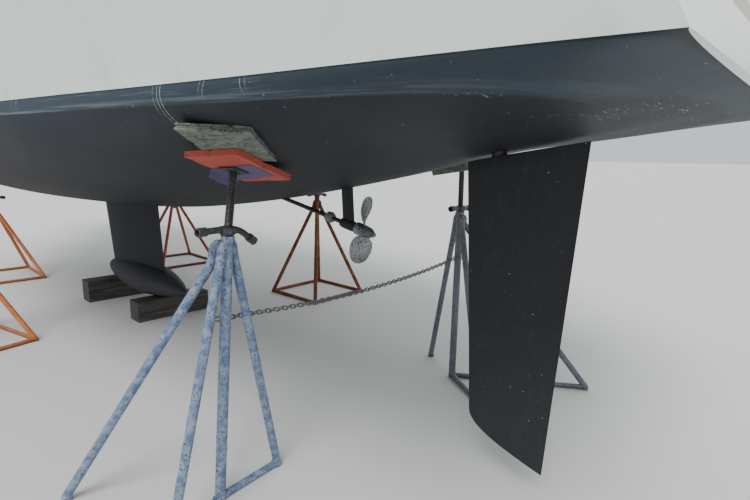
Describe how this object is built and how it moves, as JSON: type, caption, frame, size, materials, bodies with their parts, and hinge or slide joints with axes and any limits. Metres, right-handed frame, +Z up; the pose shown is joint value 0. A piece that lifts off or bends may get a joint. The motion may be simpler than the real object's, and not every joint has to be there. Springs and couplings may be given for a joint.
{
  "type": "fin-keel sailing yacht laid up on boat stands",
  "caption": "Cruising yacht ashore on keel blocks and screw stands: fin keel with bulb, spade rudder, shaft-driven propeller, open stern, wheel steering and a mast with boom.",
  "frame": {"origin": "on the ground, under the middle of the whole object's box, on the yacht's centreline", "axes": "+X towards the bow, +Y to port, +Z up; the yacht stands level on its keel blocks and stands"},
  "size_m": [12.104, 4.531, 18.95],
  "materials": {
    "topsides": "off-white gelcoat, weathered",
    "deck": "pale non-slip deck",
    "antifouling": "charcoal blue-black antifouling, chalky",
    "blade": "near-black antifouling with white specks",
    "stainless": "stainless steel",
    "shaft": "dark wet-worn steel",
    "growth": "bronze with pale growth",
    "anode": "zinc, pitted",
    "spar": "silver anodised",
    "window": "dark tinted acrylic",
    "teak": "oiled wood",
    "timber": "dark wet sleeper",
    "plywood": "mossy plywood and painted board",
    "engine": "painted iron",
    "stand_blue": "light blue paint, worn",
    "stand_grey": "dark grey paint, worn",
    "stand_orange": "orange paint, worn",
    "stand_rust": "brown rust",
    "stand_red": "red paint, worn"
  },
  "bodies": {
    "yacht": {"backstay": "stainless", "bow_roller": "stainless", "coachroof": "deck", "cockpit": "deck", "deck": "deck", "engine": "engine", "forestay": "spar", "guardrail_port": "stainless", "guardrail_starboard": "stainless", "hull_aft": "topsides", "hull_forward": "topsides", "hull_middle": "topsides", "keel_block_aft": "timber", "keel_block_forward": "timber", "keel_bulb": "antifouling", "keel_fin": "antifouling", "mast": "spar", "pulpit": "stainless", "shaft_bracket": "growth", "shrouds_port": "stainless", "shrouds_starboard": "stainless", "stand_aft_port": "stand_blue", "stand_aft_starboard": "stand_grey", "stand_forward_port": "stand_orange", "stand_forward_starboard": "stand_red", "stand_head_aft_port": "plywood", "stand_head_aft_starboard": "plywood", "stand_head_forward_port": "plywood", "stand_head_forward_starboard": "plywood", "stand_head_middle_port": "plywood", "stand_head_middle_starboard": "plywood", "stand_middle_port": "stand_orange", "stand_middle_starboard": "stand_rust", "steering_pedestal": "topsides", "window_aft_port": "window", "window_aft_starboard": "window", "window_forward_port": "window", "window_forward_starboard": "window"},
    "rudder": {"rudder_blade": "blade", "rudder_stock": "stainless"},
    "propeller_line": {"propeller_shaft": "shaft", "shaft_anode": "anode", "propeller": "growth"},
    "boom_and_vang": {"boom": "spar", "vang": "spar"},
    "wheel": {"steering_wheel": "stainless"},
    "companionway_hatch": {"companionway_hatch": "window"},
    "companionway_door_port": {"companionway_door_port": "teak"},
    "companionway_door_starboard": {"companionway_door_starboard": "teak"},
    "fore_hatch": {"fore_hatch": "window"},
    "saloon_hatch": {"saloon_hatch": "window"},
    "anchor_locker_lid": {"anchor_locker_lid": "deck"},
    "locker_lid_port": {"locker_lid_port": "deck"},
    "locker_lid_starboard": {"locker_lid_starboard": "deck"}
  },
  "joints": [
    {"name": "rudder_turn", "type": "hinge", "parent": "yacht", "child": "rudder", "pos_m": [-5.01, 0, 1.9], "axis": [0, 0, 1], "range_deg": [-35, 35]},
    {"name": "wheel_turn", "type": "hinge", "parent": "yacht", "child": "wheel", "pos_m": [-4.27, 0, 3.38], "axis": [1, 0, 0], "range_deg": [-360, 360]},
    {"name": "propeller_spin", "type": "hinge", "parent": "yacht", "child": "propeller_line", "pos_m": [-4.07, 0, 1.283], "axis": [0.985, 0, 0.1724], "continuous": true},
    {"name": "boom_swing", "type": "hinge", "parent": "yacht", "child": "boom_and_vang", "pos_m": [0.615, 0, 5.05], "axis": [0, 0, 1], "range_deg": [-70, 70]},
    {"name": "companionway_slide", "type": "slide", "parent": "yacht", "child": "companionway_hatch", "axis": [1, 0, 0], "range_m": [0, 0.56]},
    {"name": "door_port_swing", "type": "hinge", "parent": "yacht", "child": "companionway_door_port", "pos_m": [-2.5163, 0.332, 3.4], "axis": [0, 0, -1], "range_deg": [0, 95]},
    {"name": "door_starboard_swing", "type": "hinge", "parent": "yacht", "child": "companionway_door_starboard", "pos_m": [-2.5163, -0.332, 3.4], "axis": [0, 0, 1], "range_deg": [0, 95]},
    {"name": "fore_hatch_lift", "type": "hinge", "parent": "yacht", "child": "fore_hatch", "pos_m": [3.74, 0, 3.56161], "axis": [0, 1, 0], "range_deg": [0, 95]},
    {"name": "saloon_hatch_lift", "type": "hinge", "parent": "yacht", "child": "saloon_hatch", "pos_m": [-0.25, 0, 3.7979], "axis": [0, 1, 0], "range_deg": [0, 90]},
    {"name": "anchor_locker_lift", "type": "hinge", "parent": "yacht", "child": "anchor_locker_lid", "pos_m": [4.54, 0, 3.59388], "axis": [0, -1, 0], "range_deg": [0, 90]},
    {"name": "locker_port_lift", "type": "hinge", "parent": "yacht", "child": "locker_lid_port", "pos_m": [-3.15, 0.88, 3.02], "axis": [-1, 0, 0], "range_deg": [0, 80]},
    {"name": "locker_starboard_lift", "type": "hinge", "parent": "yacht", "child": "locker_lid_starboard", "pos_m": [-3.15, -0.88, 3.02], "axis": [1, 0, 0], "range_deg": [0, 80]}
  ],
  "couplings": [
    {"joint": "wheel_turn", "follows": "rudder_turn", "ratio": 10.285}
  ]
}
